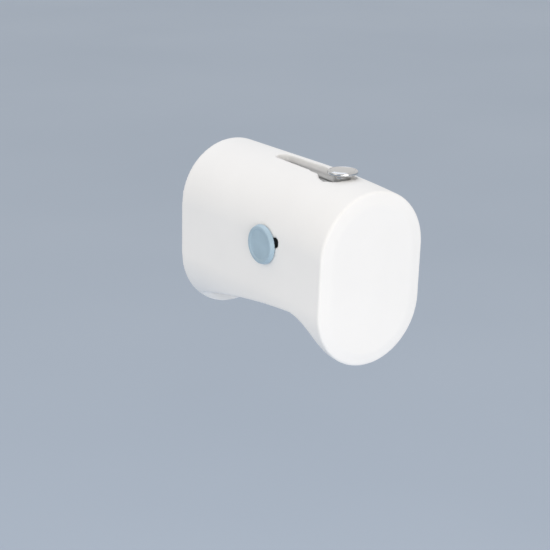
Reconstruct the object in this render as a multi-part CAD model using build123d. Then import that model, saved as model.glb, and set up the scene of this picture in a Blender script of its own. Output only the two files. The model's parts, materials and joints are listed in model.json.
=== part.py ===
from build123d import *
from math import cos, radians, sin, sqrt
import os

# Bath spout with a lift-knob diverter, wearing a soft safety cover.
# Frame: the wall is the plane Y = 0 and the spout points to -Y. +Z is up. X = 0 is the plane
# of symmetry. The origin is the centre of the threaded inlet, in the plane of the wall.
# "depth" always means the distance in front of the wall, so a depth of 10 is Y = -10.

# ---------------------------------------------------------------- driving dimensions (mm)
# cover
COVER_WIDTH = 78.0
COVER_HEIGHT = 111.0
COVER_LENGTH = 147.0          # wall to the rim of the nose, at mid height
COVER_TOP = 35.0              # crown of the cover above the inlet axis
COVER_WALL = 5.0
NOSE_WALL = 6.0
STRAIGHT_LENGTH = 75.0        # from here forward the cover droops
NOSE_DROP = 3.3
NOSE_TILT = 2.0               # degrees: the top of the nose stands further out than its foot
PILLOW_WIDTH = 8.0            # soft border round the flat of the nose
PILLOW_RISE = 1.4
RIM_RADIUS = 1.2
REAR_RING = 2.5               # closed ring against the wall
REAR_INSET = 6.0

# ribs inside the cover that grip the barrel
RIB_WIDTH = 2.4
TOP_RIB_PLACES = (-8.5, 8.5)
TOP_RIB_END_DEPTH = 100.0
SIDE_RIB_HEIGHTS = (-12.0, 0.0, 12.0)
SIDE_RIB_END_DEPTH = 58.0
RIB_CLEARANCE = 0.05

# open underside of the cover
MOUTH_REAR_DEPTH = 3.0
MOUTH_REAR_HEIGHT = -65.5
MOUTH_REAR_CORNER = 7.0
MOUTH_MID_DEPTH = 61.0
MOUTH_MID_HEIGHT = -52.0
MOUTH_FRONT_DEPTH = 114.0
MOUTH_FRONT_HEIGHT = -46.4
MOUTH_NOSE_RADIUS = 24.8
MOUTH_BELOW = -100.0

# keyhole slot on top of the cover
CHANNEL_REAR_HALF = 5.5        # half width at its rear end, wide enough for the knob's neck
CHANNEL_FRONT_HALF = 7.0
CHANNEL_REAR_DEPTH = 53.5
KNOB_HOLE_DEPTH = 112.2       # the knob stands towards the front of its hole
KNOB_HOLE_RADIUS = 11.6
KEYHOLE_CORNER = 2.0

# strap and its buttons
STRAP_SLOT_WIDTH = 6.4
STRAP_SLOT_RISE = 17.0        # degrees, rising towards the nose
STRAP_TRAVEL = 12.0           # each way from the stored place
BUTTON_DEPTH = 90.0
BUTTON_HEIGHT = -9.1
BUTTON_BACK_RADIUS = 12.7
BUTTON_FACE_RADIUS = 11.7
BUTTON_THICKNESS = 3.0
BUTTON_CLEARANCE = 0.4
BUTTON_EDGE = 0.6
DISH_RADIUS = 9.5             # shallow dish in the face
DISH_SINK = 0.35
POST_RADIUS = 3.0
POST_HEAD_RADIUS = 4.6
POST_HEAD_LENGTH = 1.8
STRAP_THICKNESS = 2.2
STRAP_WIDTH = 12.0
STRAP_CENTRE_DEPTH = 87.0
STRAP_BOTTOM = -32.1          # middle of the band under the spout
STRAP_BEND = 14.0
EYELET_RADIUS = 8.5
STRAP_CLEARANCE = 1.3         # the cover's side walls curve in above the eyelets

# spout casting
GASKET_THICKNESS = 2.0
GASKET_INSET = 0.2
GASKET_LIP = 1.0              # how far it covers the mouth of the cavity
BARREL_REAR_RADIUS = 28.5
BARREL_FRONT_RADIUS = 26.0
NOSE_CENTRE_DEPTH = 114.0     # centre of the ball-shaped nose
CASTING_WALL = 3.2
CAVITY_DEPTH = 97.0
WEB_REAR_DEPTH = 12.0
WEB_FRONT_DEPTH = 18.0
WEB_RING_RADIUS = 15.6        # ring of web left round the neck
WEB_WINDOW_HALF = 9.0         # half width of the four windows between the spokes
OUTLET_DEPTH = 119.5
OUTLET_BOTTOM = -38.0
OUTLET_OUTER_RADIUS = 14.5
CHAMBER_RADIUS = 12.0
CHAMBER_TOP = 14.0

# inlet and waterway
THREAD_RADIUS = 10.3          # 1/2 inch pipe thread, modelled plain
THREAD_LENGTH = 18.0
BUSHING_FLATS = 30.0
NECK_RADIUS = 12.8
NECK_FRONT_DEPTH = 34.0
RETAINER_THICKNESS = 5.0
RELIEF_RADIUS = 10.9          # groove past the thread that keeps the washer
WASHER_RADIUS = 10.8
WASHER_REAR_DEPTH = 18.4
WASHER_FRONT_DEPTH = 20.4
SOCKET_DEPTH = 22.0
TUBE_RADIUS = 9.6
TUBE_BORE = 6.8
O_RING_SECTION = 0.8          # radius of the rubber section
O_RING_SLACK = 0.02
O_RING_REAR_DEPTH = 29.0
O_RING_FRONT_DEPTH = 102.0
TUBE_END_GAP = 0.2

# diverter
STEM_DEPTH = 117.0
STEM_RADIUS = 2.4
SEAT_FACE_DEPTH = 112.5
SEAT_TOP = 14.0
SEAT_BOTTOM = -18.0
RAIL_DEPTH = 6.5              # rails beside the gate, forward of the seat's face
RAIL_SHORTER = 2.0
PORT_WIDTH = 13.6
PORT_HEIGHT = 8.0
GATE_WIDTH = 18.0
GATE_HEIGHT = 12.0
GATE_THICKNESS = 5.4
GATE_CENTRE = -10.5           # lowered: the port above it is open
GATE_CLEARANCE = 0.3
GATE_CORNER = 1.5
GATE_FLOOR = 1.5              # carrier left below the end of the stem
SEAL_THICKNESS = 1.5
SEAL_INSET = 0.5
GATE_PIN_RADIUS = 1.0
GATE_PIN_LENGTH = 16.0
STEM_BOSS_RADIUS = 9.0
STEM_BOSS_TOP = 27.0
BUSHING_RADIUS = 6.5
BUSHING_FLANGE = 7.8
BUSHING_FLANGE_HEIGHT = 1.0
SMALL_CHAMFER = 0.4
STEM_BORE = 2.5
STEM_GROOVE_RADIUS = 4.5
STEM_GROOVE_MIDDLE = 20.0
STEM_RING_SECTION = 1.0       # radius of the rubber section
STEM_GROOVE_GAP = 0.1
STEM_END_GAP = 0.5
KNOB_BOTTOM = 28.9
KNOB_NECK_RADIUS = 5.25
KNOB_CAP_BOTTOM = 35.7
KNOB_CAP_RADIUS = 9.4
KNOB_TOP = 38.4
KNOB_EDGE = 0.9
KNOB_SOCKET_TOP = 35.0
SET_SCREW_RADIUS = 1.5
SET_SCREW_HEIGHT = 31.2
SET_SCREW_SINK = 0.4          # below the surface of the knob's neck
HEX_KEY = 1.5
HEX_KEY_DEPTH = 1.2

# outlet
COLLAR_BORE = 10.5
COLLAR_TOP = -30.0
STRAIGHTENER_BOTTOM = -36.5
STRAIGHTENER_TOP = -31.0
STRAIGHTENER_RING = 1.0
STRAIGHTENER_HUB = 2.0
VANE_THICKNESS = 0.8
VANES = 8

PAST = 1.0                    # how far a cutter runs on past the face it opens

os.makedirs("parts", exist_ok=True)


def save(shape, name):
    """Write one sub-part to its own file."""
    shape.label = name
    export_step(shape, f"parts/{name}.step")


# ---------------------------------------------------------------- helpers
def facing_front(depth, height=0.0, tilt=0.0, x=0.0):
    """Plane across the spout at a depth; its own +Y is up and its normal points to the front."""
    normal = (0, -cos(radians(tilt)), -sin(radians(tilt)))
    return Plane(origin=(x, -depth, height), x_dir=(1, 0, 0), z_dir=normal)


def rod_along_depth(radius, start, end, height=0.0):
    """Solid cylinder from one depth to another."""
    return extrude(facing_front(start, height) * Circle(radius), end - start)


def upright_rod(radius, bottom, top, depth):
    """Solid vertical cylinder."""
    return extrude(Plane.XY.offset(bottom) * Pos(0, -depth) * Circle(radius), top - bottom)


def block(x_range, depth_range, z_range):
    """Axis-aligned box from its limits."""
    size = (x_range[1] - x_range[0], depth_range[1] - depth_range[0], z_range[1] - z_range[0])
    centre = (sum(x_range) / 2, -sum(depth_range) / 2, sum(z_range) / 2)
    return Pos(*centre) * Box(*size)


def barrel_radius(depth):
    """Outer radius of the spout's tapered barrel."""
    taper = (depth - GASKET_THICKNESS) / (NOSE_CENTRE_DEPTH - GASKET_THICKNESS)
    return BARREL_REAR_RADIUS + (BARREL_FRONT_RADIUS - BARREL_REAR_RADIUS) * taper


# ---------------------------------------------------------------- cover
def droop_share(depth):
    """0 along the straight part of the cover, rising to 1 at the rim of the nose."""
    beyond = max(0.0, depth - STRAIGHT_LENGTH)
    return (beyond / (COVER_LENGTH - STRAIGHT_LENGTH)) ** 2


def cover_section(depth, inset=0.0, rise=0.0):
    """Upright obround section of the cover, inset from its outline."""
    share = droop_share(depth)
    middle = COVER_TOP - COVER_HEIGHT / 2 - NOSE_DROP * share
    plane = facing_front(depth, middle, NOSE_TILT * share).offset(rise)
    outline = SlotOverall(COVER_HEIGHT - 2 * inset, COVER_WIDTH - 2 * inset, rotation=90)
    return (plane * outline).face()


def cover_solid(start, end, inset=0.0):
    """Obround body between two depths: straight at first, then drooping."""
    steps = 4
    depths = [STRAIGHT_LENGTH + (end - STRAIGHT_LENGTH) * step / steps for step in range(steps + 1)]
    straight = extrude(cover_section(start, inset), STRAIGHT_LENGTH - start)
    return straight + loft([cover_section(depth, inset) for depth in depths])


def cover_outside():
    """Drooping obround with a softly pillowed nose."""
    shaft = cover_solid(0, COVER_LENGTH)
    border = []
    steps = 3
    for step in range(steps + 1):
        inset = PILLOW_WIDTH * step / steps
        rise = PILLOW_RISE * (1 - (1 - inset / PILLOW_WIDTH) ** 2)
        border.append(cover_section(COVER_LENGTH, inset, rise))
    return shaft + loft(border)


def near_nose_rim(edge):
    """True for the edges where the cover's sides meet its pillowed front."""
    rim = cover_section(COVER_LENGTH).outer_wire()
    return all(rim.distance_to(edge.position_at(part)) < 0.01 for part in (0, 0.5, 1))


def cover_inside():
    """Room inside the cover, with the smaller opening against the wall."""
    room = cover_solid(REAR_RING, COVER_LENGTH - NOSE_WALL, COVER_WALL)
    opening = extrude(cover_section(0, REAR_INSET), 2 * REAR_RING, both=True)
    return room + opening


def cover_mouth():
    """Open underside: a gentle arc, then a quarter circle that runs down behind the nose."""
    side = Plane(origin=(COVER_WIDTH, 0, 0), x_dir=(0, -1, 0), z_dir=(-1, 0, 0))
    rear = (MOUTH_REAR_DEPTH, MOUTH_REAR_HEIGHT)
    front = (MOUTH_FRONT_DEPTH, MOUTH_FRONT_HEIGHT)
    foot = (MOUTH_FRONT_DEPTH + MOUTH_NOSE_RADIUS, MOUTH_FRONT_HEIGHT - MOUTH_NOSE_RADIUS)
    edge = Line((MOUTH_REAR_DEPTH, MOUTH_BELOW), rear)
    edge += ThreePointArc(rear, (MOUTH_MID_DEPTH, MOUTH_MID_HEIGHT), front)
    edge += RadiusArc(front, foot, MOUTH_NOSE_RADIUS)
    edge += Line(foot, (foot[0], MOUTH_BELOW))
    edge += Line((foot[0], MOUTH_BELOW), (MOUTH_REAR_DEPTH, MOUTH_BELOW))
    profile = make_face(edge)
    corner = profile.vertices().sort_by_distance(Vector(*rear))[0]
    profile = fillet(corner, MOUTH_REAR_CORNER)
    return extrude(side * profile, 2 * COVER_WIDTH)


def keyhole():
    """Slot in the top of the cover that lets it slide on past the knob, widening to the front."""
    rear_centre = CHANNEL_REAR_DEPTH + CHANNEL_REAR_HALF
    join = KNOB_HOLE_DEPTH - sqrt(KNOB_HOLE_RADIUS ** 2 - CHANNEL_FRONT_HALF ** 2)
    corners = [
        (-CHANNEL_REAR_HALF, -rear_centre),
        (CHANNEL_REAR_HALF, -rear_centre),
        (CHANNEL_FRONT_HALF, -join),
        (CHANNEL_FRONT_HALF, -KNOB_HOLE_DEPTH),
        (-CHANNEL_FRONT_HALF, -KNOB_HOLE_DEPTH),
        (-CHANNEL_FRONT_HALF, -join),
    ]
    outline = make_face(Polyline(*corners, close=True))
    outline += Pos(0, -rear_centre) * Circle(CHANNEL_REAR_HALF)
    outline += Pos(0, -KNOB_HOLE_DEPTH) * Circle(KNOB_HOLE_RADIUS)
    joins = outline.vertices().filter_by(lambda v: abs(v.Y + join) < 0.01)
    outline = fillet(joins, KEYHOLE_CORNER)
    return extrude(Plane.XY.offset(COVER_TOP / 2) * outline, COVER_TOP)


def strap_slots():
    """The two slots in the cover's sides that guide the button posts."""
    side = Plane(origin=(COVER_WIDTH, -BUTTON_DEPTH, BUTTON_HEIGHT), x_dir=(0, -1, 0), z_dir=(-1, 0, 0))
    slot = SlotCenterToCenter(2 * STRAP_TRAVEL, STRAP_SLOT_WIDTH, rotation=STRAP_SLOT_RISE)
    return extrude(side * slot, 2 * COVER_WIDTH)


def grip_ribs():
    """Soft ribs inside the cover that hold it on the barrel."""
    half = RIB_WIDTH / 2
    rib_foot = 20.0
    into_wall = 3.0
    ribs = []
    for x in TOP_RIB_PLACES:
        heights = (rib_foot, COVER_TOP - into_wall)
        ribs.append(block((x - half, x + half), (REAR_RING, TOP_RIB_END_DEPTH), heights))
    for side in (-1, 1):
        for height in SIDE_RIB_HEIGHTS:
            reach = sorted((side * rib_foot, side * (COVER_WIDTH / 2 - into_wall)))
            ribs.append(block(reach, (REAR_RING, SIDE_RIB_END_DEPTH), (height - half, height + half)))
    return ribs


def make_cover():
    outside = cover_outside()
    rim = outside.edges().filter_by(near_nose_rim)
    outside = fillet(rim, RIM_RADIUS)
    shell = outside - cover_inside()
    barrel = spout_barrel(RIB_CLEARANCE)
    for rib in grip_ribs():
        shell += (rib & outside) - barrel
    shell -= cover_mouth()
    shell -= keyhole()
    shell -= strap_slots()
    return shell


# ---------------------------------------------------------------- spout casting
def spout_barrel(grow=0.0):
    """Tapered barrel with a ball-shaped nose."""
    radius = BARREL_FRONT_RADIUS + grow
    start = GASKET_THICKNESS - (PAST if grow else 0.0)
    outline = Line((0, -start), (BARREL_REAR_RADIUS + grow, -start))
    outline += Line((BARREL_REAR_RADIUS + grow, -start), (radius, -NOSE_CENTRE_DEPTH))
    tip = (0, -NOSE_CENTRE_DEPTH - radius)
    half = (radius * sin(radians(45)), -NOSE_CENTRE_DEPTH - radius * sin(radians(45)))
    outline += ThreePointArc((radius, -NOSE_CENTRE_DEPTH), half, tip)
    outline += Line(tip, (0, -start))
    return revolve(make_face(outline), Axis.Y)


def make_spout_body():
    body = spout_barrel()
    outlet = upright_rod(OUTLET_OUTER_RADIUS, OUTLET_BOTTOM, 0, OUTLET_DEPTH)
    body += outlet
    body += upright_rod(STEM_BOSS_RADIUS, CHAMBER_TOP, STEM_BOSS_TOP, STEM_DEPTH)
    rear_room = BARREL_REAR_RADIUS - CASTING_WALL
    front_room = barrel_radius(CAVITY_DEPTH) - CASTING_WALL
    cavity = loft([
        (facing_front(GASKET_THICKNESS) * Circle(rear_room)).face(),
        (facing_front(CAVITY_DEPTH) * Circle(front_room)).face(),
    ])
    body -= cavity
    body += make_web(rear_room)
    body -= rod_along_depth(TUBE_RADIUS, CAVITY_DEPTH - PAST, OUTLET_DEPTH)
    body -= upright_rod(CHAMBER_RADIUS, OUTLET_BOTTOM - PAST, CHAMBER_TOP, OUTLET_DEPTH)
    body -= upright_rod(BUSHING_RADIUS, 0, STEM_BOSS_TOP + PAST, STEM_DEPTH)
    return body


def make_web(reach):
    """Ring round the neck on four diagonal spokes, with a window between each two."""
    rear, front = WEB_REAR_DEPTH, WEB_FRONT_DEPTH
    web = rod_along_depth(reach, rear, front)
    window = block((-WEB_WINDOW_HALF, WEB_WINDOW_HALF), (rear - PAST, front + PAST), (0, reach + PAST))
    window -= rod_along_depth(WEB_RING_RADIUS, rear - 2 * PAST, front + 2 * PAST)
    for turn in range(4):
        web -= Rot(0, 90 * turn, 0) * window
    return web - rod_along_depth(NECK_RADIUS, rear - PAST, front + PAST)


def make_wall_gasket():
    ring = rod_along_depth(BARREL_REAR_RADIUS - GASKET_INSET, 0, GASKET_THICKNESS)
    bore = BARREL_REAR_RADIUS - CASTING_WALL - GASKET_LIP
    return ring - rod_along_depth(bore, -PAST, GASKET_THICKNESS + PAST)


# ---------------------------------------------------------------- inlet and waterway
def hexagon_prism(flats, start, end):
    return extrude(facing_front(start) * RegularPolygon(flats / 2, 6, major_radius=False), end - start)


def make_inlet_bushing():
    bushing = hexagon_prism(BUSHING_FLATS, 0, WEB_REAR_DEPTH)
    bushing += rod_along_depth(NECK_RADIUS, WEB_REAR_DEPTH, NECK_FRONT_DEPTH)
    bushing -= rod_along_depth(THREAD_RADIUS, -PAST, THREAD_LENGTH)
    bushing -= rod_along_depth(RELIEF_RADIUS, THREAD_LENGTH, WASHER_FRONT_DEPTH)
    bushing -= rod_along_depth(TUBE_BORE, 0, NECK_FRONT_DEPTH)
    bushing -= rod_along_depth(TUBE_RADIUS, SOCKET_DEPTH, NECK_FRONT_DEPTH + PAST)
    return bushing


def make_inlet_retainer():
    end = WEB_FRONT_DEPTH + RETAINER_THICKNESS
    nut = hexagon_prism(BUSHING_FLATS, WEB_FRONT_DEPTH, end)
    return nut - rod_along_depth(NECK_RADIUS, WEB_FRONT_DEPTH - PAST, end + PAST)


def make_inlet_washer():
    """Rubber washer that the end of the pipe is screwed up against."""
    ring = rod_along_depth(WASHER_RADIUS, WASHER_REAR_DEPTH, WASHER_FRONT_DEPTH)
    return ring - rod_along_depth(TUBE_BORE, WASHER_REAR_DEPTH - PAST, WASHER_FRONT_DEPTH + PAST)


O_RING_DEPTHS = {"tube_o_ring_rear": O_RING_REAR_DEPTH, "tube_o_ring_front": O_RING_FRONT_DEPTH}
GROOVE_RADIUS = TUBE_RADIUS - 2 * O_RING_SECTION


def make_waterway_tube():
    end = OUTLET_DEPTH - CHAMBER_RADIUS - TUBE_END_GAP
    tube = rod_along_depth(TUBE_RADIUS, SOCKET_DEPTH + TUBE_END_GAP, end)
    tube -= rod_along_depth(TUBE_BORE, 0, OUTLET_DEPTH)
    half_width = O_RING_SECTION + TUBE_END_GAP
    for depth in O_RING_DEPTHS.values():
        groove = rod_along_depth(TUBE_RADIUS + PAST, depth - half_width, depth + half_width)
        tube -= groove - rod_along_depth(GROOVE_RADIUS, depth - half_width, depth + half_width)
    return tube


def make_tube_o_ring(depth):
    ring = Torus(GROOVE_RADIUS + O_RING_SECTION, O_RING_SECTION - O_RING_SLACK)
    return Pos(0, -depth, 0) * Rot(90, 0, 0) * ring


# ---------------------------------------------------------------- diverter
def make_diverter_seat():
    """Port plate with two guide rails, shaped to the round chamber."""
    rear = OUTLET_DEPTH - CHAMBER_RADIUS
    rail_inner = GATE_WIDTH / 2 + GATE_CLEARANCE
    rail_front = SEAT_FACE_DEPTH + RAIL_DEPTH
    seat = block((-CHAMBER_RADIUS, CHAMBER_RADIUS), (rear, SEAT_FACE_DEPTH), (SEAT_BOTTOM, SEAT_TOP))
    for side in (-1, 1):
        limits = sorted((side * rail_inner, side * CHAMBER_RADIUS))
        seat += block(limits, (SEAT_FACE_DEPTH, rail_front), (SEAT_BOTTOM, SEAT_TOP - RAIL_SHORTER))
    seat &= upright_rod(CHAMBER_RADIUS, SEAT_BOTTOM, SEAT_TOP, OUTLET_DEPTH)
    port = facing_front(rear - PAST) * SlotOverall(PORT_WIDTH, PORT_HEIGHT)
    return seat - extrude(port, SEAT_FACE_DEPTH - rear + 2 * PAST)


STEM_FOOT = GATE_CENTRE - GATE_HEIGHT / 2 + GATE_FLOOR


def cross_rod(length):
    """Cylinder across the gate and the stem, where the gate's pin goes."""
    return Pos(0, -STEM_DEPTH, GATE_CENTRE) * Rot(0, 90, 0) * Cylinder(GATE_PIN_RADIUS, length)


def make_gate_carrier():
    gate = Pos(0, -STEM_DEPTH, GATE_CENTRE) * Box(GATE_WIDTH, GATE_THICKNESS, GATE_HEIGHT)
    gate = fillet(gate.edges().filter_by(Axis.Y), GATE_CORNER)
    gate -= upright_rod(STEM_RADIUS, STEM_FOOT, 0, STEM_DEPTH)
    return gate - cross_rod(GATE_WIDTH + 2 * PAST)


def make_gate_seal():
    front = STEM_DEPTH - GATE_THICKNESS / 2
    plane = facing_front(front - SEAL_THICKNESS, GATE_CENTRE)
    outline = RectangleRounded(GATE_WIDTH - 2 * SEAL_INSET, GATE_HEIGHT - 2 * SEAL_INSET, GATE_CORNER)
    return extrude(plane * outline, SEAL_THICKNESS)


def make_gate_pin():
    return cross_rod(GATE_PIN_LENGTH)


def make_diverter_stem():
    stem = upright_rod(STEM_RADIUS, STEM_FOOT, KNOB_SOCKET_TOP - STEM_END_GAP, STEM_DEPTH)
    return stem - cross_rod(GATE_WIDTH)


def make_stem_bushing():
    bushing = upright_rod(BUSHING_RADIUS, CHAMBER_TOP, STEM_BOSS_TOP, STEM_DEPTH)
    flange_top = STEM_BOSS_TOP + BUSHING_FLANGE_HEIGHT
    flange = upright_rod(BUSHING_FLANGE, STEM_BOSS_TOP, flange_top, STEM_DEPTH)
    bushing += chamfer(flange.edges().group_by(Axis.Z)[-1], SMALL_CHAMFER)
    bushing -= upright_rod(STEM_BORE, 0, KNOB_TOP, STEM_DEPTH)
    half = STEM_RING_SECTION + STEM_GROOVE_GAP
    groove = upright_rod(STEM_GROOVE_RADIUS, STEM_GROOVE_MIDDLE - half, STEM_GROOVE_MIDDLE + half, STEM_DEPTH)
    return bushing - groove


def make_stem_o_ring():
    middle = (STEM_GROOVE_RADIUS + STEM_RADIUS) / 2
    return Pos(0, -STEM_DEPTH, STEM_GROOVE_MIDDLE) * Torus(middle, STEM_RING_SECTION - O_RING_SLACK)


def make_diverter_knob():
    neck = upright_rod(KNOB_NECK_RADIUS, KNOB_BOTTOM, KNOB_CAP_BOTTOM, STEM_DEPTH)
    neck = chamfer(neck.edges().group_by(Axis.Z)[0], SMALL_CHAMFER)
    cap = upright_rod(KNOB_CAP_RADIUS, KNOB_CAP_BOTTOM, KNOB_TOP, STEM_DEPTH)
    cap = fillet(cap.edges().filter_by(GeomType.CIRCLE), KNOB_EDGE)
    knob = neck + cap
    knob -= upright_rod(STEM_RADIUS, KNOB_BOTTOM - PAST, KNOB_SOCKET_TOP, STEM_DEPTH)
    screw_end = STEM_DEPTH + KNOB_CAP_RADIUS
    return knob - rod_along_depth(SET_SCREW_RADIUS, STEM_DEPTH, screw_end, SET_SCREW_HEIGHT)


def make_knob_set_screw():
    start = STEM_DEPTH + STEM_RADIUS
    end = STEM_DEPTH + KNOB_NECK_RADIUS - SET_SCREW_SINK
    screw = rod_along_depth(SET_SCREW_RADIUS, start, end, SET_SCREW_HEIGHT)
    hexagon = RegularPolygon(HEX_KEY / 2, 6, major_radius=False)
    socket = facing_front(end - HEX_KEY_DEPTH, SET_SCREW_HEIGHT) * hexagon
    return screw - extrude(socket, HEX_KEY_DEPTH + PAST)


# ---------------------------------------------------------------- outlet
def make_outlet_collar():
    collar = upright_rod(CHAMBER_RADIUS, OUTLET_BOTTOM, COLLAR_TOP, OUTLET_DEPTH)
    return collar - upright_rod(COLLAR_BORE, OUTLET_BOTTOM - PAST, COLLAR_TOP + PAST, OUTLET_DEPTH)


def make_flow_straightener():
    """Ring, hub and thin vanes that calm the water."""
    bottom, top = STRAIGHTENER_BOTTOM, STRAIGHTENER_TOP
    inner = COLLAR_BORE - STRAIGHTENER_RING
    straightener = upright_rod(COLLAR_BORE, bottom, top, OUTLET_DEPTH)
    straightener -= upright_rod(inner, bottom - PAST, top + PAST, OUTLET_DEPTH)
    straightener += upright_rod(STRAIGHTENER_HUB, bottom, top, OUTLET_DEPTH)
    reach = inner + STRAIGHTENER_RING / 2
    for turn in range(VANES):
        vane = Pos(reach / 2, 0, (bottom + top) / 2) * Box(reach, VANE_THICKNESS, top - bottom)
        straightener += Pos(0, -OUTLET_DEPTH, 0) * Rot(0, 0, 360 / VANES * turn) * vane
    return straightener


# ---------------------------------------------------------------- strap and buttons
INNER_WALL = COVER_WIDTH / 2 - COVER_WALL
EYELET_OUTER = INNER_WALL - STRAP_CLEARANCE
EYELET_INNER = EYELET_OUTER - STRAP_THICKNESS


def along_x(radius, start, end):
    """Cylinder on the buttons' axis between two X positions."""
    start, end = sorted((start, end))
    plane = Plane(origin=(start, -BUTTON_DEPTH, BUTTON_HEIGHT), x_dir=(0, 1, 0), z_dir=(1, 0, 0))
    return extrude(plane * Circle(radius), end - start)


def make_tension_strap():
    middle = (EYELET_OUTER + EYELET_INNER) / 2
    path = FilletPolyline(
        (-middle, BUTTON_HEIGHT), (-middle, STRAP_BOTTOM), (middle, STRAP_BOTTOM), (middle, BUTTON_HEIGHT),
        radius=STRAP_BEND,
    )
    band_face = trace(path, STRAP_THICKNESS)
    rear = STRAP_CENTRE_DEPTH - STRAP_WIDTH / 2
    strap = extrude(facing_front(rear) * band_face, STRAP_WIDTH)
    for side in (-1, 1):
        strap += along_x(EYELET_RADIUS, side * EYELET_INNER, side * EYELET_OUTER)
    return strap - along_x(POST_RADIUS, -COVER_WIDTH, COVER_WIDTH)


def make_strap_button(side):
    """Round button with a post through the slot and a head behind the strap's eyelet."""
    seat = COVER_WIDTH / 2 + BUTTON_CLEARANCE
    face = seat + BUTTON_THICKNESS
    middle = Pos(side * (seat + face) / 2, -BUTTON_DEPTH, BUTTON_HEIGHT)
    button = middle * Rot(0, 90 * side, 0) * Cone(BUTTON_BACK_RADIUS, BUTTON_FACE_RADIUS, BUTTON_THICKNESS)
    outer = button.edges().filter_by(GeomType.CIRCLE).sort_by(Axis.X)[0 if side < 0 else -1]
    button = fillet(outer, BUTTON_EDGE)
    button -= along_x(DISH_RADIUS, side * (face - DISH_SINK), side * (face + PAST))
    button += along_x(POST_RADIUS, side * EYELET_INNER, side * seat)
    return button + along_x(POST_HEAD_RADIUS, side * EYELET_INNER, side * (EYELET_INNER - POST_HEAD_LENGTH))


# ---------------------------------------------------------------- write every piece
save(make_cover(), "cover_shell")
save(make_tension_strap(), "tension_strap")
save(make_strap_button(-1), "strap_button_left")
save(make_strap_button(1), "strap_button_right")
save(make_spout_body(), "spout_body")
save(make_wall_gasket(), "wall_gasket")
save(make_inlet_bushing(), "inlet_bushing")
save(make_inlet_retainer(), "inlet_retainer")
save(make_inlet_washer(), "inlet_washer")
save(make_waterway_tube(), "waterway_tube")
for ring_name, ring_depth in O_RING_DEPTHS.items():
    save(make_tube_o_ring(ring_depth), ring_name)
save(make_diverter_seat(), "diverter_seat")
save(make_gate_carrier(), "gate_carrier")
save(make_gate_seal(), "gate_seal")
save(make_gate_pin(), "gate_pin")
save(make_diverter_stem(), "diverter_stem")
save(make_stem_bushing(), "stem_bushing")
save(make_stem_o_ring(), "stem_o_ring")
save(make_diverter_knob(), "diverter_knob")
save(make_knob_set_screw(), "knob_set_screw")
save(make_outlet_collar(), "outlet_collar")
save(make_flow_straightener(), "flow_straightener")
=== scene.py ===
import json
import math

import bpy
import numpy as np
from mathutils import Matrix, Vector


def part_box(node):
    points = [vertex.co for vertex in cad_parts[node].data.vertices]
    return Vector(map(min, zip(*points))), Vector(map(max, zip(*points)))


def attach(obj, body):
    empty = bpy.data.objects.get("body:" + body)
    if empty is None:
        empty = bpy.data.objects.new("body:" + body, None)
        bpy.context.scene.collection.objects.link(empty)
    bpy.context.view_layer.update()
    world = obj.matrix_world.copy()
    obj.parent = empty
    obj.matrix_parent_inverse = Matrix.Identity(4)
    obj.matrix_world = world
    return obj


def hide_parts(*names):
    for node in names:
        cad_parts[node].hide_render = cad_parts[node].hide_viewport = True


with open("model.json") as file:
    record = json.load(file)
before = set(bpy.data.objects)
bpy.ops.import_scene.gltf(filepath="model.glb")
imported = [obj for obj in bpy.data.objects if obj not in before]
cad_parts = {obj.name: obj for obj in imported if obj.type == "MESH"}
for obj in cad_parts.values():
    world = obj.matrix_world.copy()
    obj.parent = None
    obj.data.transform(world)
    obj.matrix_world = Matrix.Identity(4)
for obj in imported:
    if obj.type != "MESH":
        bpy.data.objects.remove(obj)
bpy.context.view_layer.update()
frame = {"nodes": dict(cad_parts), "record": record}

# A bath spout in its soft safety cover. The wall is the plane Y = 0, the spout points to -Y and
# +Z is up. "depth" is the distance in front of the wall, so depth = -Y. The scene is in metres;
# the distance fields and their sizes are in millimetres.
MM = 0.001

# ---------------------------------------------------------------- camera and room
CAMERA_PLACE = (-0.67343, -0.94995, 0.30765)
CAMERA_AZIMUTH = -36.818
CAMERA_ELEVATION = 17.478
CAMERA_ROLL = 1.013
CAMERA_LENS = 119.03
SENSOR_WIDTH = 36.0
CLIP_START, CLIP_END = 0.05, 50.0
FLOOR_HEIGHT = -0.70
FLOOR_HALF = 12.0             # half of the floor's side
FLOOR_COLOUR = (0.43, 0.505, 0.61)
FLOOR_DARKER = (0.42, 0.495, 0.60)
FLOOR_LIGHTER = (0.44, 0.515, 0.62)
FLOOR_ROUGHNESS = 0.85
WORLD_COLOUR = (0.92, 0.90, 0.88)
WORLD_STRENGTH = 0.86
LIGHT_TARGET = (0, -0.075, -0.02)
LIGHTS = (                    # name, place, width, power and colour
    ("front_light", (-0.35, -1.6, 0.05), 1.1, 9.6, (1.0, 0.95, 0.90)),
    ("top_light", (0.1, 0.45, 1.25), 1.2, 4.2, (0.75, 0.84, 1.0)),
    ("side_light", (-1.5, 0.1, 0.35), 1.0, 2.8, (1.0, 0.90, 0.77)),
    ("low_light", (-1.0, -1.3, -0.15), 0.8, 1.45, (1.0, 0.94, 0.88)),
)

# ---------------------------------------------------------------- edge radii and lengths that pieces share
HAIRLINE = 0.1
CRISP = 0.2
FINE = 0.3
BROKEN = 0.4
SOFT = 0.5
EASED = 0.6
ROUND = 0.8
OVERLAP = 1.0                 # how far a piece of a shape reaches into its neighbour
FAR = 1e3                     # larger than any distance on the object

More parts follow.
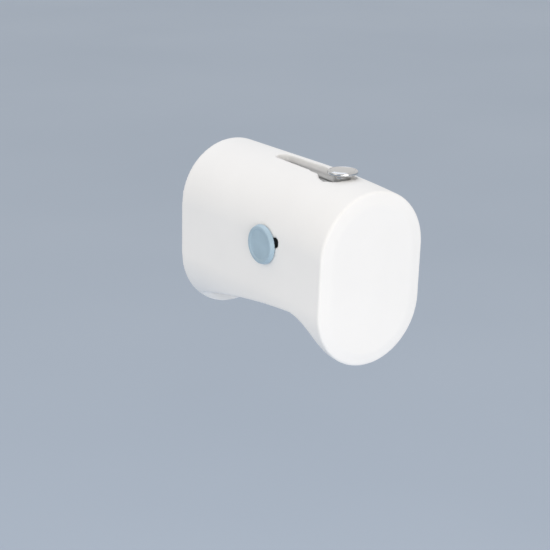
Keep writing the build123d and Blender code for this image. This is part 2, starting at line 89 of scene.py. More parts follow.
# ---------------------------------------------------------------- cover
HALF_WIDTH = 39.0
HALF_STRAIGHT = 16.5          # half of the flat stretch of each side
MIDDLE = -20.5                # height of the cover's middle
LENGTH = 147.0
WALL = 5.0
NOSE_INSIDE = 141.0
STRAIGHT_LENGTH = 75.0
NOSE_DROP = 3.3
NOSE_TILT = math.tan(math.radians(2.0))
BORDER_WIDTH = 8.0            # sloping border round the flat of the nose
BORDER_RISE = 1.4
BORDER_SOFTNESS = 0.12        # share of its width over which the slope ends
RIM_RADIUS = 1.3
KEYHOLE_BOTTOM = 17.5         # the keyhole is cut down to this height
REAR_RING = 3.0               # thickness of the ring at the wall, up to the rear of the underside
REAR_INSET = 6.0              # from the outline to the ring's inner edge
CUT_RADIUS = 0.9              # moulded edge round the underside
INNER_BEVEL = 1.2             # along the underside's inner edge, where the sides meet it sharply
KEYHOLE_RADIUS = 0.7
SLOT_RADIUS = 0.5
INSIDE_RADIUS = 2.0


# ---------------------------------------------------------------- distance fields
def both(a, b, radius=0.0):
    """Overlap of two fields, with a rounded outer edge."""
    corner = np.hypot(np.maximum(a + radius, 0), np.maximum(b + radius, 0))
    return np.minimum(-radius, np.maximum(a, b)) + corner


def either(a, b, radius=0.0):
    """Union of two fields, with a rounded inner corner."""
    return -both(-a, -b, radius)


def without(a, b, radius=0.0):
    """Field a with field b cut away and its edge rounded."""
    return both(a, -b, radius)


def droop(depth):
    """0 along the straight part of the cover, rising to 1 at the nose."""
    return (np.maximum(depth - STRAIGHT_LENGTH, 0) / (LENGTH - STRAIGHT_LENGTH)) ** 2


def segment(u, v, start, end, radius):
    """Distance to a straight slot with round ends in a plane."""
    du, dv = end[0] - start[0], end[1] - start[1]
    along = np.clip(((u - start[0]) * du + (v - start[1]) * dv) / (du * du + dv * dv), 0, 1)
    return np.hypot(u - start[0] - along * du, v - start[1] - along * dv) - radius


def slab(x, y, z, low, high):
    """Distance to a box."""
    q = [np.maximum(a - c, b - a) for a, b, c in zip((x, y, z), low, high)]
    return np.maximum(np.maximum(q[0], q[1]), q[2])


def rod(radial, along, radius, low, high, edge=0.0):
    """Round bar from low to high with rounded rims."""
    return both(radial - radius, np.abs(along - (low + high) / 2) - (high - low) / 2, edge)


def hexagon(u, v, flats):
    """Six-sided bar with two of its flats facing up and down v."""
    lean = np.abs(u) * math.cos(math.radians(30)) + np.abs(v) / 2
    return np.maximum(np.abs(v), lean) - flats / 2


def circle_through(a, b, c):
    """Centre and radius of the circle through three points."""
    rows = np.array([[b[0] - a[0], b[1] - a[1]], [c[0] - a[0], c[1] - a[1]]]) * 2
    sides = [p[0] ** 2 + p[1] ** 2 - a[0] ** 2 - a[1] ** 2 for p in (b, c)]
    centre = np.linalg.solve(rows, sides)
    return centre, math.hypot(centre[0] - a[0], centre[1] - a[1])


MOUTH_REAR = (3.0, -65.5)     # depth and height of three points on the underside's arc
MOUTH_MIDDLE = (61.0, -52.0)
MOUTH_FRONT = (114.0, -46.4)
MOUTH_NOSE_RADIUS = 24.8
MOUTH_RUN = 100.0             # carries the cut behind the nose on past the cover's bottom
MOUTH_REAR_CORNER = 7.0
MOUTH_ARC = circle_through(MOUTH_REAR, MOUTH_MIDDLE, MOUTH_FRONT)


def mouth_field(depth, z):
    """Open underside: a gentle arc, then a quarter circle down behind the nose."""
    (centre_depth, centre_z), radius = MOUTH_ARC
    under_arc = np.hypot(depth - centre_depth, z - centre_z) - radius
    along = both(under_arc, MOUTH_REAR[0] - depth, MOUTH_REAR_CORNER)
    along = both(along, depth - MOUTH_FRONT[0])
    foot = (MOUTH_FRONT[0], MOUTH_FRONT[1] - MOUTH_NOSE_RADIUS)
    nose = segment(depth, z, foot, (foot[0], foot[1] - MOUTH_RUN), MOUTH_NOSE_RADIUS)
    return either(along, nose)


STEM_DEPTH = 117.0
KNOB_HOLE_DEPTH = 112.2
KNOB_HOLE_RADIUS = 11.6
KEYHOLE_CORNER = 2.0
CHANNEL_REAR_HALF = 5.5
CHANNEL_FRONT_HALF = 7.0
CHANNEL_REAR = 59.0           # centre of the channel's round end
CHANNEL_JOIN = KNOB_HOLE_DEPTH - math.sqrt(KNOB_HOLE_RADIUS ** 2 - CHANNEL_FRONT_HALF ** 2)


def keyhole_field(x, depth):
    """Channel that widens to the front, then a round hole."""
    hole = np.hypot(x, depth - KNOB_HOLE_DEPTH) - KNOB_HOLE_RADIUS
    along = np.clip((depth - CHANNEL_REAR) / (CHANNEL_JOIN - CHANNEL_REAR), 0, 1)
    half = CHANNEL_REAR_HALF + (CHANNEL_FRONT_HALF - CHANNEL_REAR_HALF) * along
    channel = np.hypot(x, np.maximum(CHANNEL_REAR - depth, 0)) - half
    channel = both(channel, depth - KNOB_HOLE_DEPTH)
    return either(hole, channel, KEYHOLE_CORNER)


BUTTON_DEPTH = 90.0
BUTTON_HEIGHT = -9.1
SLOT_RISE = math.radians(17.0)
SLOT_TRAVEL = 12.0
SLOT_HALF = 3.2


def strap_slot_field(depth, z):
    """Slanting slot in each side of the cover, along which a button's post slides."""
    ends = []
    for sign in (-1, 1):
        run = sign * SLOT_TRAVEL
        ends.append((BUTTON_DEPTH + run * math.cos(SLOT_RISE), BUTTON_HEIGHT + run * math.sin(SLOT_RISE)))
    return segment(depth, z, ends[0], ends[1], SLOT_HALF)


BARREL_REAR_DEPTH = 2.0
BARREL_REAR_RADIUS = 28.5
BARREL_FRONT_RADIUS = 26.0
BALL_DEPTH = 114.0            # centre of the spout's ball-shaped nose


def barrel_field(x, depth, z):
    """Tapered barrel of the spout with its ball-shaped nose."""
    length = BALL_DEPTH - BARREL_REAR_DEPTH
    along = (np.clip(depth, BARREL_REAR_DEPTH, BALL_DEPTH) - BARREL_REAR_DEPTH) / length
    radius = BARREL_REAR_RADIUS + (BARREL_FRONT_RADIUS - BARREL_REAR_RADIUS) * along
    return np.sqrt(x * x + z * z + np.maximum(depth - BALL_DEPTH, 0) ** 2) - radius


RIB_HALF = 1.2
RIB_FOOT = 20.0
TOP_RIBS = (-8.5, 8.5)
TOP_RIB_END = 100.0
SIDE_RIBS = (-12.0, 0.0, 12.0)
SIDE_RIB_END = 58.0
RIB_GAP = 0.15
RIB_FILLET = 0.8


def rib_field(x, depth, z, outline):
    """Ribs inside the cover, cut to the barrel that they grip."""
    ribs = np.full_like(outline, FAR)
    for place in TOP_RIBS:
        low = (place - RIB_HALF, REAR_RING, RIB_FOOT)
        high = (place + RIB_HALF, TOP_RIB_END, HALF_WIDTH - WALL)
        ribs = np.minimum(ribs, slab(x, depth, z, low, high))
    for place in SIDE_RIBS:
        low = (RIB_FOOT, REAR_RING, place - RIB_HALF)
        high = (HALF_WIDTH, SIDE_RIB_END, place + RIB_HALF)
        ribs = np.minimum(ribs, slab(np.abs(x), depth, z, low, high))
    ribs = both(ribs, outline + WALL / 2)
    return without(ribs, barrel_field(x, depth, z) - RIB_GAP, FINE)


def cover_field(x, y, z):
    """Signed distance, in millimetres, to the soft cover."""
    depth = -y
    middle = MIDDLE - NOSE_DROP * droop(depth)
    height = np.maximum(np.abs(z - middle) - HALF_STRAIGHT, 0)
    outline = np.hypot(x, height) - HALF_WIDTH
    front = depth - LENGTH - (z - MIDDLE + NOSE_DROP) * NOSE_TILT
    inward = np.clip(-outline / BORDER_WIDTH, 0, 1 + BORDER_SOFTNESS)
    slowing = np.maximum(inward - 1 + BORDER_SOFTNESS, 0) ** 2 / (4 * BORDER_SOFTNESS)
    body = both(outline, front - BORDER_RISE * (inward - slowing), RIM_RADIUS)
    body = both(body, -depth, SOFT)
    room = both(outline + WALL, front + (LENGTH - NOSE_INSIDE), INSIDE_RADIUS)
    room = both(room, REAR_RING - depth, SOFT)
    opening = both(outline + REAR_INSET, depth - 2 * REAR_RING)
    room = either(room, opening, ROUND)
    shell = without(body, room, ROUND)
    shell = either(shell, rib_field(x, depth, z, outline), RIB_FILLET)
    mouth = mouth_field(depth, z)
    shell = without(shell, mouth, CUT_RADIUS)
    slant = (room + mouth - INNER_BEVEL) * math.sqrt(0.5)
    shell = without(shell, np.maximum(slant, REAR_RING - depth), FINE)
    keyhole = both(keyhole_field(x, depth), KEYHOLE_BOTTOM - z)
    shell = without(shell, keyhole, KEYHOLE_RADIUS)
    return without(shell, strap_slot_field(depth, z), SLOT_RADIUS)


# ---------------------------------------------------------------- knob, buttons and strap
KNOB_BOTTOM = 28.9
KNOB_NECK_RADIUS = 5.25
KNOB_CAP_BOTTOM = 35.7
KNOB_CAP_RADIUS = 9.4
KNOB_TOP = 38.4
KNOB_CROWN = 0.3              # how far the middle of the cap stands above its rim
STEM_RADIUS = 2.4
KNOB_SOCKET_TOP = 35.0
KNOB_CAP_EDGE = 0.9
KNOB_FILLET = 1.2
GROOVE_PLACE = 0.82           # ring groove on the cap, as a share of its radius
GROOVE_RADIUS = 0.22
SET_SCREW_RADIUS = 1.5
SET_SCREW_HEIGHT = 31.2


def knob_field(x, y, z):
    """Crowned cap on a neck, with the holes for the stem and the set screw."""
    radial = np.hypot(x, y + STEM_DEPTH)
    crown = KNOB_TOP - KNOB_CROWN * (radial / KNOB_CAP_RADIUS) ** 2
    cap = both(radial - KNOB_CAP_RADIUS, np.maximum(KNOB_CAP_BOTTOM - z, z - crown), KNOB_CAP_EDGE)
    neck = rod(radial, z, KNOB_NECK_RADIUS, KNOB_BOTTOM, KNOB_CAP_BOTTOM + OVERLAP, BROKEN)
    knob = either(cap, neck, KNOB_FILLET)
    groove = np.hypot(radial - GROOVE_PLACE * KNOB_CAP_RADIUS, z - crown) - GROOVE_RADIUS
    knob = without(knob, groove, HAIRLINE)
    knob = without(knob, both(radial - STEM_RADIUS, z - KNOB_SOCKET_TOP), CRISP)
    screw = both(np.hypot(x, z - SET_SCREW_HEIGHT) - SET_SCREW_RADIUS, y + STEM_DEPTH)
    return without(knob, screw, CRISP)


BUTTON_SEAT = 39.4            # back of the button, just off the cover
BUTTON_FACE = 42.4
BUTTON_BACK_RADIUS = 12.7
BUTTON_FACE_RADIUS = 11.7
DISH_RADIUS = 9.5
DISH_SINK = 0.35
POST_RADIUS = 3.0
POST_HEAD_RADIUS = 4.6
EYELET_INNER = 30.5
EYELET_OUTER = 32.7
POST_END = 28.7


def button_field(side):
    """Field of the button on one side: tapered disc with a shallow dish, post and head."""
    def field(x, y, z):
        out = side * x
        radial = np.hypot(y + BUTTON_DEPTH, z - BUTTON_HEIGHT)
        taper = (BUTTON_BACK_RADIUS - BUTTON_FACE_RADIUS) / (BUTTON_FACE - BUTTON_SEAT)
        cone = (radial - BUTTON_BACK_RADIUS + (out - BUTTON_SEAT) * taper) / math.hypot(1, taper)
        middle, half = (BUTTON_SEAT + BUTTON_FACE) / 2, (BUTTON_FACE - BUTTON_SEAT) / 2
        disc = both(cone, np.abs(out - middle) - half, EASED)
        dish = both(radial - DISH_RADIUS, BUTTON_FACE - DISH_SINK - out)
        disc = without(disc, dish, FINE)
        post = rod(radial, out, POST_RADIUS, POST_END, BUTTON_SEAT + OVERLAP)
        head = rod(radial, out, POST_HEAD_RADIUS, POST_END, EYELET_INNER, SOFT)
        return either(either(disc, post, SOFT), head, FINE)
    return field


STRAP_MIDDLE_DEPTH = 87.0
STRAP_HALF_WIDTH = 6.0
STRAP_BOTTOM = -32.1
STRAP_BEND = 14.0
EYELET_RADIUS = 8.5
STRAP_EDGE = 0.7
STRAP_FILLET = 1.0


def strap_field(x, y, z):
    """Band bent in a U under the spout, with a round eyelet at each end."""
    depth = -y
    middle, half = (EYELET_INNER + EYELET_OUTER) / 2, (EYELET_OUTER - EYELET_INNER) / 2
    across = np.abs(x) - middle + STRAP_BEND
    down = STRAP_BOTTOM + STRAP_BEND - z
    bend = np.hypot(np.maximum(across, 0), np.maximum(down, 0)) - STRAP_BEND
    bend += np.minimum(np.maximum(across, down), 0)
    band = both(np.abs(bend) - half, np.abs(depth - STRAP_MIDDLE_DEPTH) - STRAP_HALF_WIDTH, STRAP_EDGE)
    band = both(band, z - BUTTON_HEIGHT)
    radial = np.hypot(depth - BUTTON_DEPTH, z - BUTTON_HEIGHT)
    eyelet = rod(radial, np.abs(x), EYELET_RADIUS, EYELET_INNER, EYELET_OUTER, STRAP_EDGE)
    return without(either(band, eyelet, STRAP_FILLET), radial - POST_RADIUS, FINE)


# ---------------------------------------------------------------- chrome casting
CAVITY_END = 97.0
CAVITY_REAR_RADIUS = 25.3
CAVITY_FRONT_RADIUS = 23.18
WEB_REAR, WEB_FRONT = 12.0, 18.0
WEB_WINDOW_HALF = 9.0
WEB_RING_RADIUS = 15.6
NECK_RADIUS = 12.8
TUBE_RADIUS = 9.6
OUTLET_DEPTH = 119.5
OUTLET_BOTTOM = -38.0
OUTLET_RADIUS = 14.5
CHAMBER_RADIUS = 12.0
CHAMBER_TOP = 14.0
BOSS_RADIUS = 9.0
BOSS_TOP = 27.0
BUSHING_RADIUS = 6.5
TUBE_HOLE_SETBACK = 12.0      # from the outlet's axis back to the middle of the tube's hole
TUBE_HOLE_HALF = 13.0
OUTLET_FILLET = 3.0
BOSS_FILLET = 1.0
CAVITY_CORNER = 2.0
WINDOW_CORNER = 1.5
WEB_FILLET = 1.0


def casting_field(x, y, z):
    """Hollow barrel with an outlet pipe below and a boss for the diverter's stem."""
    depth = -y
    radial = np.hypot(x, z)
    body = both(barrel_field(x, depth, z), BARREL_REAR_DEPTH - depth, EASED)
    from_outlet = np.hypot(x, depth - OUTLET_DEPTH)
    from_stem = np.hypot(x, depth - STEM_DEPTH)
    outlet = rod(from_outlet, z, OUTLET_RADIUS, OUTLET_BOTTOM, 0, ROUND)
    body = either(body, outlet, OUTLET_FILLET)
    boss = rod(from_stem, z, BOSS_RADIUS, CHAMBER_TOP, BOSS_TOP, SOFT)
    body = either(body, boss, BOSS_FILLET)
    along = (depth - BARREL_REAR_DEPTH) / (CAVITY_END - BARREL_REAR_DEPTH)
    wall = radial - CAVITY_REAR_RADIUS - (CAVITY_FRONT_RADIUS - CAVITY_REAR_RADIUS) * along
    cavity = both(wall, depth - CAVITY_END, CAVITY_CORNER)
    arms = np.minimum(np.abs(x), np.abs(z)) - WEB_WINDOW_HALF
    window = both(arms, WEB_RING_RADIUS - radial, WINDOW_CORNER)
    web = both(np.abs(depth - (WEB_REAR + WEB_FRONT) / 2) - (WEB_FRONT - WEB_REAR) / 2, wall - OVERLAP)
    web = without(without(web, window, EASED), radial - NECK_RADIUS, FINE)
    body = either(without(body, cavity, EASED), web, WEB_FILLET)
    tube_hole = np.abs(depth - OUTLET_DEPTH + TUBE_HOLE_SETBACK) - TUBE_HOLE_HALF
    body = without(body, both(radial - TUBE_RADIUS, tube_hole), FINE)
    body = without(body, both(from_outlet - CHAMBER_RADIUS, z - CHAMBER_TOP, SOFT), SOFT)
    return without(body, both(from_stem - BUSHING_RADIUS, -z), FINE)


# ---------------------------------------------------------------- inlet
HEX_FLATS = 30.0
HEX_CORNER = 16.7             # turned corners of the hexagons
NECK_START = 1.0              # hidden in the hexagon
NECK_END = 34.0
THREAD_RADIUS = 10.3
THREAD_END = 18.0
THREAD_PITCH = 1.814          # 14 threads to the inch
THREAD_HEIGHT = 0.9
RELIEF_RADIUS = 10.9
RELIEF_END = 20.4
SOCKET_START = 22.0
TUBE_BORE = 6.8
NUT_END = 23.0
GASKET_INNER = 24.3
GASKET_OUTER = 28.3
GASKET_END = 2.0


def inlet_field(x, y, z):
    """Hexagon and neck with a cut pipe thread at the rear and the tube's socket in front."""
    depth = -y
    radial = np.hypot(x, z)
    turned = both(hexagon(x, z, HEX_FLATS), radial - HEX_CORNER, SOFT)
    body = both(turned, np.abs(depth - WEB_REAR / 2) - WEB_REAR / 2, EASED)
    body = either(body, rod(radial, depth, NECK_RADIUS, NECK_START, NECK_END, SOFT), CRISP)
    turn = depth / THREAD_PITCH - np.arctan2(z, x) / (2 * math.pi)
    groove = THREAD_HEIGHT * 2 * np.abs(turn - np.floor(turn) - 0.5)
    lead = np.clip((THREAD_END - depth) / THREAD_PITCH, 0, 1)
    body = without(body, both(radial - THREAD_RADIUS - groove * lead, depth - THREAD_END), HAIRLINE)
    body = without(body, rod(radial, depth, RELIEF_RADIUS, THREAD_END, RELIEF_END))
    body = without(body, radial - TUBE_BORE)
    return without(body, both(radial - TUBE_RADIUS, SOCKET_START - depth), BROKEN)


def nut_field(x, y, z):
    """Hexagon nut that holds the inlet in the casting's web."""
    depth = -y
    radial = np.hypot(x, z)
    turned = both(hexagon(x, z, HEX_FLATS), radial - HEX_CORNER, SOFT)
    nut = both(turned, np.abs(depth - (WEB_FRONT + NUT_END) / 2) - (NUT_END - WEB_FRONT) / 2, EASED)
    return without(nut, radial - NECK_RADIUS, BROKEN)


def gasket_field(x, y, z):
    """Foam ring between the casting and the wall."""
    radial = np.hypot(x, z)
    return without(rod(radial, -y, GASKET_OUTER, 0, GASKET_END, SOFT), radial - GASKET_INNER, SOFT)


# ---------------------------------------------------------------- outlet
COLLAR_BORE = 10.5
COLLAR_TOP = -30.0
STRAIGHTENER_BOTTOM = -36.5
STRAIGHTENER_TOP = -31.0
STRAIGHTENER_RING = 1.0
STRAIGHTENER_HUB = 2.0
VANE_HALF = 0.4
VANES = 8
STRAIGHTENER_EDGE = 0.25


def collar_field(x, y, z):
    """Ring in the mouth of the outlet."""
    radial = np.hypot(x, y + OUTLET_DEPTH)
    collar = rod(radial, z, CHAMBER_RADIUS, OUTLET_BOTTOM, COLLAR_TOP, FINE)
    return without(collar, radial - COLLAR_BORE, BROKEN)


def straightener_field(x, y, z):
    """Ring, hub and vanes that calm the water."""
    along = y + OUTLET_DEPTH
    radial = np.hypot(x, along)
    vanes = np.full_like(radial, FAR)
    for number in range(VANES // 2):
        angle = 2 * math.pi * number / VANES
        vanes = np.minimum(vanes, np.abs(x * math.sin(angle) - along * math.cos(angle)) - VANE_HALF)
    inner = COLLAR_BORE - STRAIGHTENER_RING
    ring = without(radial - COLLAR_BORE, radial - inner)
    solid = either(either(vanes, radial - STRAIGHTENER_HUB, BROKEN), ring, BROKEN)
    solid = both(solid, radial - COLLAR_BORE)
    middle = (STRAIGHTENER_TOP + STRAIGHTENER_BOTTOM) / 2
    half = (STRAIGHTENER_TOP - STRAIGHTENER_BOTTOM) / 2
    return both(solid, np.abs(z - middle) - half, STRAIGHTENER_EDGE)


# ---------------------------------------------------------------- meshes from fields
SLOPE_STEP = 0.02             # to each side of a point, to measure a field's slope
LEAST_SLOPE = 0.05            # squared; keeps a flat spot in a field from flinging a point away
ROUNDS = 6                    # of settling the points on the surface
RELAX = 0.5                   # share of the way that a round slides a point to its faces' middle
UNIT = np.eye(3, dtype=int)
CELL_CORNERS = [(i, j, k) for i in (0, 1) for j in (0, 1) for k in (0, 1)]
FACE_RING = [(0, 0), (-1, 0), (-1, -1), (0, -1)]


def slopes(field, points):
    """Gradient of a field at points, by central differences."""
    grad = np.empty_like(points)
    for axis in range(3):
        ahead = points.copy()
        behind = points.copy()
        ahead[:, axis] += SLOPE_STEP
        behind[:, axis] -= SLOPE_STEP
        grad[:, axis] = (field(*ahead.T) - field(*behind.T)) / (2 * SLOPE_STEP)
    return grad


def cell_points(values, place, low, cell):
    """One point in each cell at place: the mean of where the surface crosses the cell's edges."""
    total = np.zeros((len(place), 3))
    count = np.zeros(len(place))
    for axis in range(3):
        for corner in CELL_CORNERS:
            if corner[axis]:
                continue
            a = place + corner
            b = a + UNIT[axis]
            va, vb = values[tuple(a.T)], values[tuple(b.T)]
            cross = (va < 0) != (vb < 0)
            share = np.where(cross, va / np.where(cross, va - vb, 1), 0)
            total[cross] += (a + share[:, None] * UNIT[axis])[cross]
            count[cross] += 1
    return np.array(low) + cell * total / count[:, None]


def cell_faces(inside, number):
    """A four-sided face round each grid edge that the surface crosses. The faces point inwards."""
    cells = number.shape
    faces = []
    for axis in range(3):
        side_a, side_b = [n for n in range(3) if n != axis]
        here = [slice(None)] * 3
        ahead = [slice(None)] * 3
        here[axis], ahead[axis] = slice(0, -1), slice(1, None)
        first, second = inside[tuple(here)], inside[tuple(ahead)]
        edges = np.argwhere(first != second)
        for sign in (True, False):
            chosen = edges[first[tuple(edges.T)] == sign]
            chosen = chosen[(chosen[:, side_a] > 0) & (chosen[:, side_b] > 0)]
            chosen = chosen[(chosen[:, side_a] < cells[side_a]) & (chosen[:, side_b] < cells[side_b])]
            quad = [number[tuple((chosen + a * UNIT[side_a] + b * UNIT[side_b]).T)] for a, b in FACE_RING]
            if sign != (axis == 1):
                quad.reverse()
            faces.append(np.stack(quad, 1))
    return np.concatenate(faces)


def settle(field, points, faces, cell):
    """Move the points on to the surface and even them out along it, in turns."""
    for _ in range(ROUNDS):
        grad = slopes(field, points)
        size = np.maximum((grad ** 2).sum(1), LEAST_SLOPE)
        move = field(*points.T) / size
        points -= np.clip(move, -cell / 2, cell / 2)[:, None] * grad
        centre = np.zeros_like(points)
        shared = np.zeros(len(points))
        middle = points[faces].mean(1)
        for corner in range(4):
            np.add.at(centre, faces[:, corner], middle)
            np.add.at(shared, faces[:, corner], 1)
        drift = centre / np.maximum(shared, 1)[:, None] - points
        normal = grad / np.sqrt(size)[:, None]
        drift -= (drift * normal).sum(1)[:, None] * normal
        points += RELAX * drift
    grad = slopes(field, points)
    size = np.maximum((grad ** 2).sum(1), LEAST_SLOPE)
    points -= np.clip(field(*points.T) / size, -cell / 2, cell / 2)[:, None] * grad


def surface_mesh(field, low, high, cell):
    """Points and four-sided faces on a field's zero surface, by surface nets and projection."""
    counts = [int(math.ceil((b - a) / cell)) + 1 for a, b in zip(low, high)]
    axes = [a + cell * np.arange(n) for a, n in zip(low, counts)]
    values = field(*np.meshgrid(*axes, indexing="ij"))
    inside = values < 0
    cells = [n - 1 for n in counts]
    filled = np.zeros(cells, int)
    for i, j, k in CELL_CORNERS:
        filled += inside[i:i + cells[0], j:j + cells[1], k:k + cells[2]]
    active = (filled > 0) & (filled < len(CELL_CORNERS))
    number = np.full(cells, -1)
    number[active] = np.arange(active.sum())
    points = cell_points(values, np.argwhere(active), low, cell)
    faces = cell_faces(inside, number)
    settle(field, points, faces, cell)
    return points, faces


def field_piece(name, field, low, high, cell):
    """Smooth-shaded object on a field's zero surface."""
    points, faces = surface_mesh(field, low, high, cell)
    mesh = bpy.data.meshes.new(name)
    mesh.from_pydata((points * MM).tolist(), [], faces.tolist())
    mesh.update()
    mesh.polygons.foreach_set("use_smooth", np.ones(len(mesh.polygons), bool))
    piece = bpy.data.objects.new(name, mesh)
    bpy.context.scene.collection.objects.link(piece)
    return piece


# ---------------------------------------------------------------- materials
RAMP_LOW, RAMP_HIGH = 0.3, 0.7    # stretch of a factor that is spread over the two values


def new_material(name, colour, roughness, **sockets):
    """A Principled material; returns it with its node tree and its shader."""
    material = bpy.data.materials.new(name)
    material.use_nodes = True
    shader = material.node_tree.nodes["Principled BSDF"]
    shader.inputs["Base Color"].default_value = (*colour, 1)
    shader.inputs["Roughness"].default_value = roughness
    for socket, value in sockets.items():
        shader.inputs[socket.replace("_", " ")].default_value = value
    return material, material.node_tree, shader


def noise(tree, scale, detail):
    """Factor of a noise texture on the piece's own coordinates."""
    place = tree.nodes.new("ShaderNodeTexCoord")
    texture = tree.nodes.new("ShaderNodeTexNoise")
    texture.inputs["Scale"].default_value = scale
    texture.inputs["Detail"].default_value = detail
    tree.links.new(place.outputs["Object"], texture.inputs["Vector"])
    return texture.outputs["Fac"]


def vary(tree, shader, socket, factor, low, high):
    """Drive a shader input between two values or colours by a factor."""
    ramp = tree.nodes.new("ShaderNodeValToRGB")
    ramp.color_ramp.elements[0].position = RAMP_LOW
    ramp.color_ramp.elements[1].position = RAMP_HIGH
    for element, value in zip(ramp.color_ramp.elements, (low, high)):
        element.color = (*value, 1) if isinstance(value, tuple) else (value, value, value, 1)
    tree.links.new(factor, ramp.inputs["Fac"])
    tree.links.new(ramp.outputs["Color"], shader.inputs[socket])


def bump(tree, shader, factor, height, strength):
    """Fine relief from a factor; its height is in metres."""
    node = tree.nodes.new("ShaderNodeBump")
    node.inputs["Strength"].default_value = strength
    node.inputs["Distance"].default_value = height
    tree.links.new(factor, node.inputs["Height"])
    tree.links.new(node.outputs["Normal"], shader.inputs["Normal"])


def soft_white():
    """Matte white thermoplastic rubber with a fine moulded grain."""
    colour, darker, lighter = (0.88, 0.88, 0.875), (0.865, 0.865, 0.86), (0.895, 0.895, 0.89)
    material, tree, shader = new_material("soft_white_rubber", colour, 0.7)
    vary(tree, shader, "Base Color", noise(tree, scale=18, detail=4), darker, lighter)
    vary(tree, shader, "Roughness", noise(tree, scale=60, detail=4), low=0.64, high=0.76)
    shader.inputs["Specular IOR Level"].default_value = 0.3
    bump(tree, shader, noise(tree, scale=2600, detail=2), height=0.00002, strength=0.35)
    return material


def moulded(name, colour, roughness):
    """Moulded plastic or rubber with a slight mottle."""
    material, tree, shader = new_material(name, colour, roughness)
    darker = tuple(c * 0.93 for c in colour)
    lighter = tuple(min(1, c * 1.06) for c in colour)
    spread = 0.06
    vary(tree, shader, "Base Color", noise(tree, scale=90, detail=4), darker, lighter)
    vary(tree, shader, "Roughness", noise(tree, scale=160, detail=4), roughness - spread, roughness + spread)
    bump(tree, shader, noise(tree, scale=2200, detail=2), height=0.00002, strength=0.4)
    return material


def metal(name, colour, roughness, spread):
    """Metal whose gloss varies with handling and machining."""
    material, tree, shader = new_material(name, colour, roughness, Metallic=1.0)
    darker = tuple(c * 0.95 for c in colour)
    glossiest = max(0.02, roughness - spread)
    vary(tree, shader, "Base Color", noise(tree, scale=40, detail=4), darker, colour)
    vary(tree, shader, "Roughness", noise(tree, scale=220, detail=5), glossiest, roughness + spread)
    bump(tree, shader, noise(tree, scale=900, detail=3), height=0.000004, strength=0.3)
    return material


def foam():
    """Open-cell foam rubber."""
    colour, darker, lighter = (0.04, 0.04, 0.042), (0.02, 0.02, 0.022), (0.07, 0.07, 0.073)
    material, tree, shader = new_material("foam_rubber", colour, 0.9)
    vary(tree, shader, "Base Color", noise(tree, scale=900, detail=3), darker, lighter)
    vary(tree, shader, "Roughness", noise(tree, scale=400, detail=3), low=0.82, high=0.96)
    bump(tree, shader, noise(tree, scale=1300, detail=3), height=0.0003, strength=0.8)
    return material


MATERIALS = {
    "soft_cover": soft_white(),
    "blue_button": moulded("blue_button", (0.38, 0.51, 0.605), 0.42),
    "dark_strap": moulded("dark_strap", (0.15, 0.155, 0.157), 0.6),
    "chrome": metal("chrome", (0.65, 0.66, 0.67), 0.07, 0.035),
    "brass": metal("brass", (0.62, 0.42, 0.16), 0.28, 0.09),
    "black_rubber": moulded("black_rubber", (0.012, 0.012, 0.013), 0.62),
    "foam_rubber": foam(),
    "grey_plastic": moulded("grey_plastic", (0.33, 0.34, 0.35), 0.45),
    "white_plastic": moulded("white_plastic", (0.74, 0.74, 0.71), 0.4),
    "steel": metal("steel", (0.56, 0.56, 0.57), 0.24, 0.08),
}


def dress(piece, slot):
    """Give a piece the material of its slot."""
    piece.data.materials.clear()
    piece.data.materials.append(MATERIALS[slot])


# ---------------------------------------------------------------- pieces that stand for CAD nodes
MARGIN = 2.0                  # room for the grid round a CAD node's box
SLOTS = {part["node"]: part["material_slot"] for part in frame["record"]["subparts"]}


def stand_for(node, body, name, field, cell):
    """Build a piece from its field in the place of one CAD node, on a grid of the given cell."""
    low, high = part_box(node)
    low = [c / MM - MARGIN for c in low]
    high = [c / MM + MARGIN for c in high]
    piece = field_piece(name, field, low, high, cell)
    dress(piece, SLOTS[node])
    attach(piece, body)
    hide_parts(node)


# The cover's grid keeps its mesh under the 200,000 triangles above which the export thins an STL.
stand_for("cover_shell", "fixed_spout", "soft_cover", cover_field, cell=1.02)
stand_for("spout_body", "fixed_spout", "chrome_casting", casting_field, cell=0.85)
stand_for("inlet_bushing", "fixed_spout", "threaded_inlet", inlet_field, cell=0.4)
stand_for("inlet_retainer", "fixed_spout", "inlet_nut", nut_field, cell=0.45)
stand_for("wall_gasket", "fixed_spout", "foam_ring", gasket_field, cell=0.45)
stand_for("outlet_collar", "fixed_spout", "outlet_ring", collar_field, cell=0.3)
stand_for("flow_straightener", "fixed_spout", "water_straightener", straightener_field, cell=0.24)
stand_for("diverter_knob", "diverter", "chrome_knob", knob_field, cell=0.24)
stand_for("tension_strap", "strap", "strap_band", strap_field, cell=0.42)
stand_for("strap_button_left", "strap", "left_button", button_field(-1), cell=0.3)
stand_for("strap_button_right", "strap", "right_button", button_field(1), cell=0.3)

# ---------------------------------------------------------------- carried-over CAD nodes
for part in frame["record"]["subparts"]:
    node = frame["nodes"][part["node"]]
    if not node.hide_render:
        node.data.materials.clear()
        node.data.materials.append(MATERIALS[part["material_slot"]])


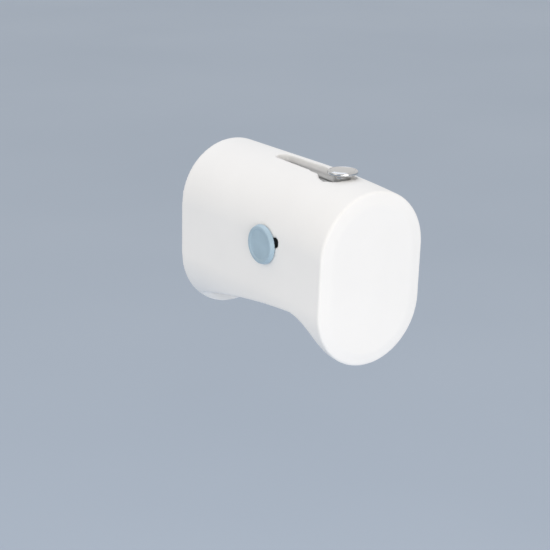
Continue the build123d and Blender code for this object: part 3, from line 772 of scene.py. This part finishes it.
# ---------------------------------------------------------------- floor, light and camera
def make_floor():
    """Painted floor below the spout, which fills the camera's view behind it."""
    mesh = bpy.data.meshes.new("floor")
    half = FLOOR_HALF
    corners = [(-half, -half, 0), (half, -half, 0), (half, half, 0), (-half, half, 0)]
    mesh.from_pydata(corners, [], [(0, 1, 2, 3)])
    floor = bpy.data.objects.new("floor", mesh)
    floor.location.z = FLOOR_HEIGHT
    bpy.context.scene.collection.objects.link(floor)
    material, tree, shader = new_material("floor_paint", FLOOR_COLOUR, FLOOR_ROUGHNESS)
    vary(tree, shader, "Base Color", noise(tree, scale=1.5, detail=2), FLOOR_DARKER, FLOOR_LIGHTER)
    mesh.materials.append(material)


def make_light(name, place, size, power, colour):
    """Round area light that faces the spout."""
    light = bpy.data.lights.new(name, "AREA")
    light.color = colour
    light.shape = "DISK"
    light.size = size
    light.energy = power
    lamp = bpy.data.objects.new(name, light)
    lamp.location = place
    lamp.rotation_euler = (Vector(LIGHT_TARGET) - Vector(place)).to_track_quat("-Z", "Y").to_euler()
    bpy.context.scene.collection.objects.link(lamp)


def make_world():
    """Even light from all round."""
    world = bpy.data.worlds.new("studio")
    world.use_nodes = True
    background = world.node_tree.nodes["Background"]
    background.inputs["Color"].default_value = (*WORLD_COLOUR, 1)
    background.inputs["Strength"].default_value = WORLD_STRENGTH
    bpy.context.scene.world = world


def make_camera():
    """Camera at the photo's viewpoint."""
    azimuth, elevation = math.radians(CAMERA_AZIMUTH), math.radians(CAMERA_ELEVATION)
    forward = Vector((
        -math.sin(azimuth) * math.cos(elevation),
        math.cos(azimuth) * math.cos(elevation),
        -math.sin(elevation),
    ))
    camera = bpy.data.objects.new("camera", bpy.data.cameras.new("camera"))
    camera.data.lens = CAMERA_LENS
    camera.data.sensor_width = SENSOR_WIDTH
    camera.data.clip_start = CLIP_START
    camera.data.clip_end = CLIP_END
    roll = Matrix.Rotation(math.radians(CAMERA_ROLL), 4, "Z").to_quaternion()
    turn = forward.to_track_quat("-Z", "Y") @ roll
    camera.location = CAMERA_PLACE
    camera.rotation_euler = turn.to_euler()
    bpy.context.scene.collection.objects.link(camera)
    bpy.context.scene.camera = camera


make_floor()
for light in LIGHTS:
    make_light(*light)
make_world()
bpy.context.scene.view_settings.view_transform = "Standard"
make_camera()
